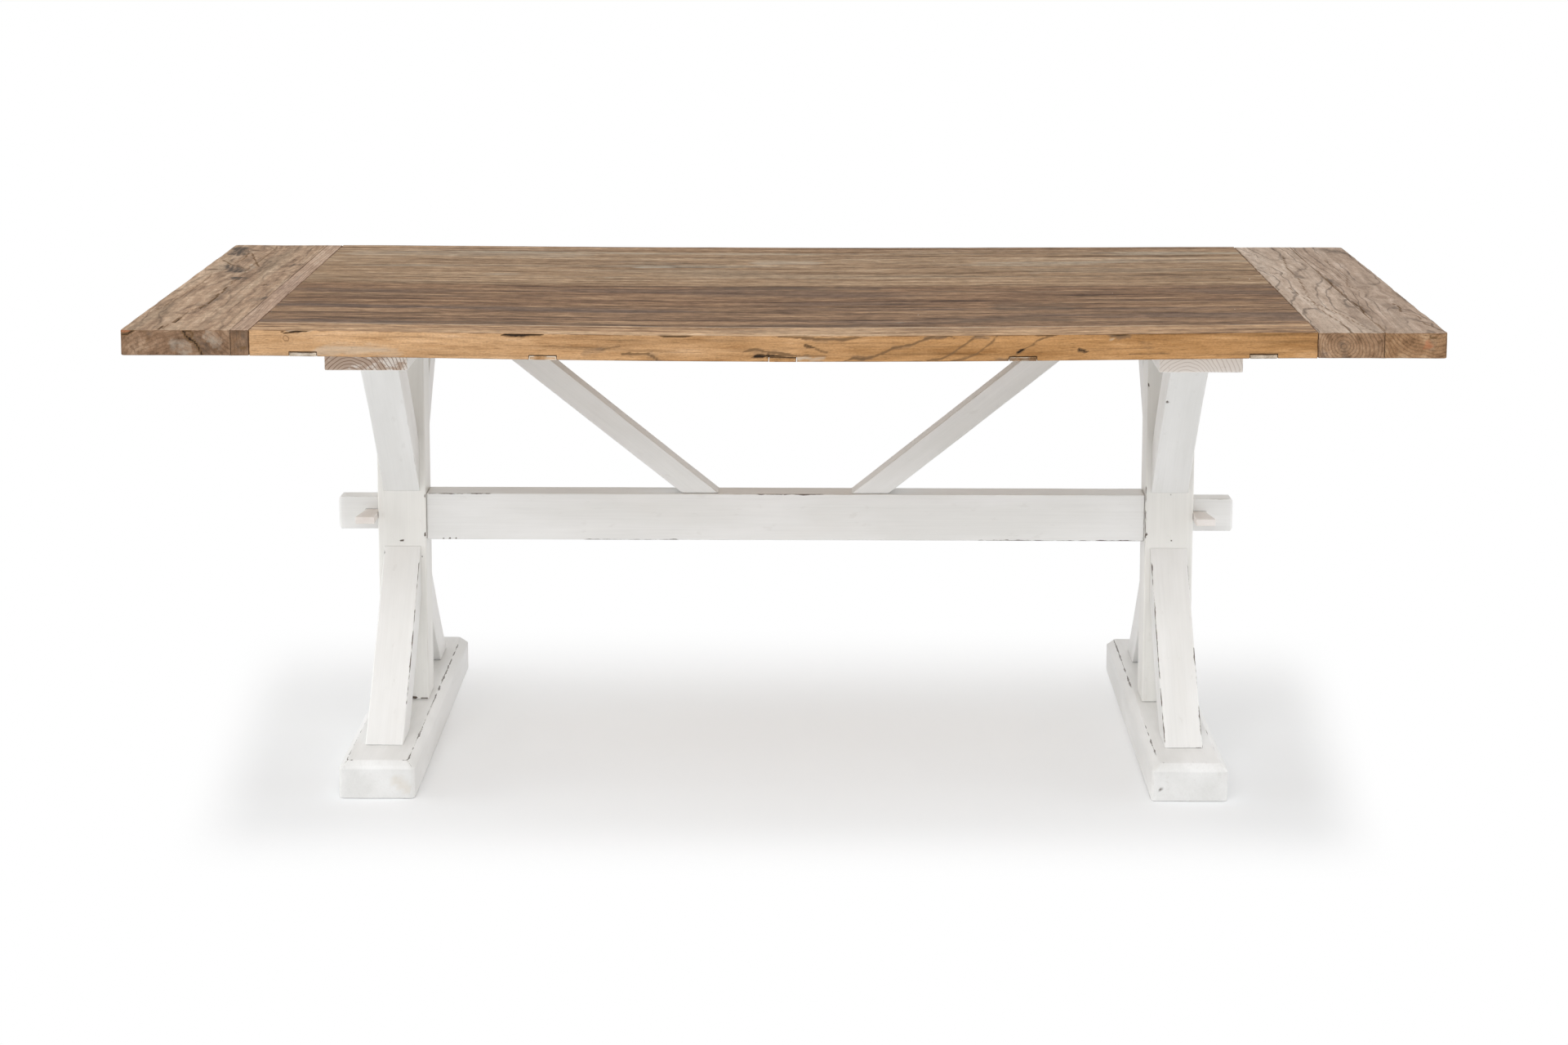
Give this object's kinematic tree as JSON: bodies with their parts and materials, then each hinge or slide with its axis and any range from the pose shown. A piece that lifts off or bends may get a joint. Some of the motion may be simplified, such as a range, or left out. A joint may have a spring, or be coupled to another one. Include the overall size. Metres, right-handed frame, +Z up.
{
  "type": "sawbuck table",
  "caption": "Dining table with a planked wooden top on two painted trestles, joined by a keyed stretcher with two diagonal braces.",
  "frame": {"origin": "on the floor, in the middle between the two trestles", "axes": "+X along the table's length, +Z up, -Y towards the front long edge"},
  "size_m": [2, 1, 0.76],
  "materials": {
    "board_wood": "oiled reclaimed softwood, brown with a grey cast",
    "plank_wood": "oiled reclaimed wood with lively cross grain",
    "batten_wood": "bare planed wood",
    "painted_wood": "chalky white paint, rubbed through along the edges",
    "screw_steel": "zinc plated",
    "nail_steel": "dark steel"
  },
  "bodies": {
    "table": {"back_arm_nails": "nail_steel", "batten_screws": "screw_steel", "bearer_screws": "screw_steel", "brace_foot_screws": "screw_steel", "brace_head_screws": "screw_steel", "cross_batten_1": "batten_wood", "cross_batten_2": "batten_wood", "cross_batten_3": "batten_wood", "cross_batten_4": "batten_wood", "cross_batten_5": "batten_wood", "front_arm_nails": "nail_steel", "left_back_lower_arm": "painted_wood", "left_back_upper_arm": "painted_wood", "left_bearer": "painted_wood", "left_brace": "painted_wood", "left_end_spline": "batten_wood", "left_foot": "painted_wood", "left_front_lower_arm": "painted_wood", "left_front_upper_arm": "painted_wood", "left_inner_plank": "plank_wood", "left_outer_plank": "plank_wood", "left_post": "painted_wood", "right_back_lower_arm": "painted_wood", "right_back_upper_arm": "painted_wood", "right_bearer": "painted_wood", "right_brace": "painted_wood", "right_end_spline": "batten_wood", "right_foot": "painted_wood", "right_front_lower_arm": "painted_wood", "right_front_upper_arm": "painted_wood", "right_inner_plank": "plank_wood", "right_outer_plank": "plank_wood", "right_post": "painted_wood", "stretcher": "painted_wood", "top_board_1": "board_wood", "top_board_2": "board_wood", "top_board_3": "board_wood", "top_board_4": "board_wood", "top_board_5": "board_wood", "top_board_6": "board_wood", "trestle_foot_screws": "screw_steel", "trestle_head_screws": "screw_steel"},
    "left_wedge": {"left_wedge": "painted_wood"},
    "right_wedge": {"right_wedge": "painted_wood"}
  },
  "joints": [
    {"name": "left_wedge_slide", "type": "slide", "parent": "table", "child": "left_wedge", "axis": [0, -1, 0], "range_m": [0, 0.055]},
    {"name": "right_wedge_slide", "type": "slide", "parent": "table", "child": "right_wedge", "axis": [0, -1, 0], "range_m": [0, 0.055]}
  ]
}
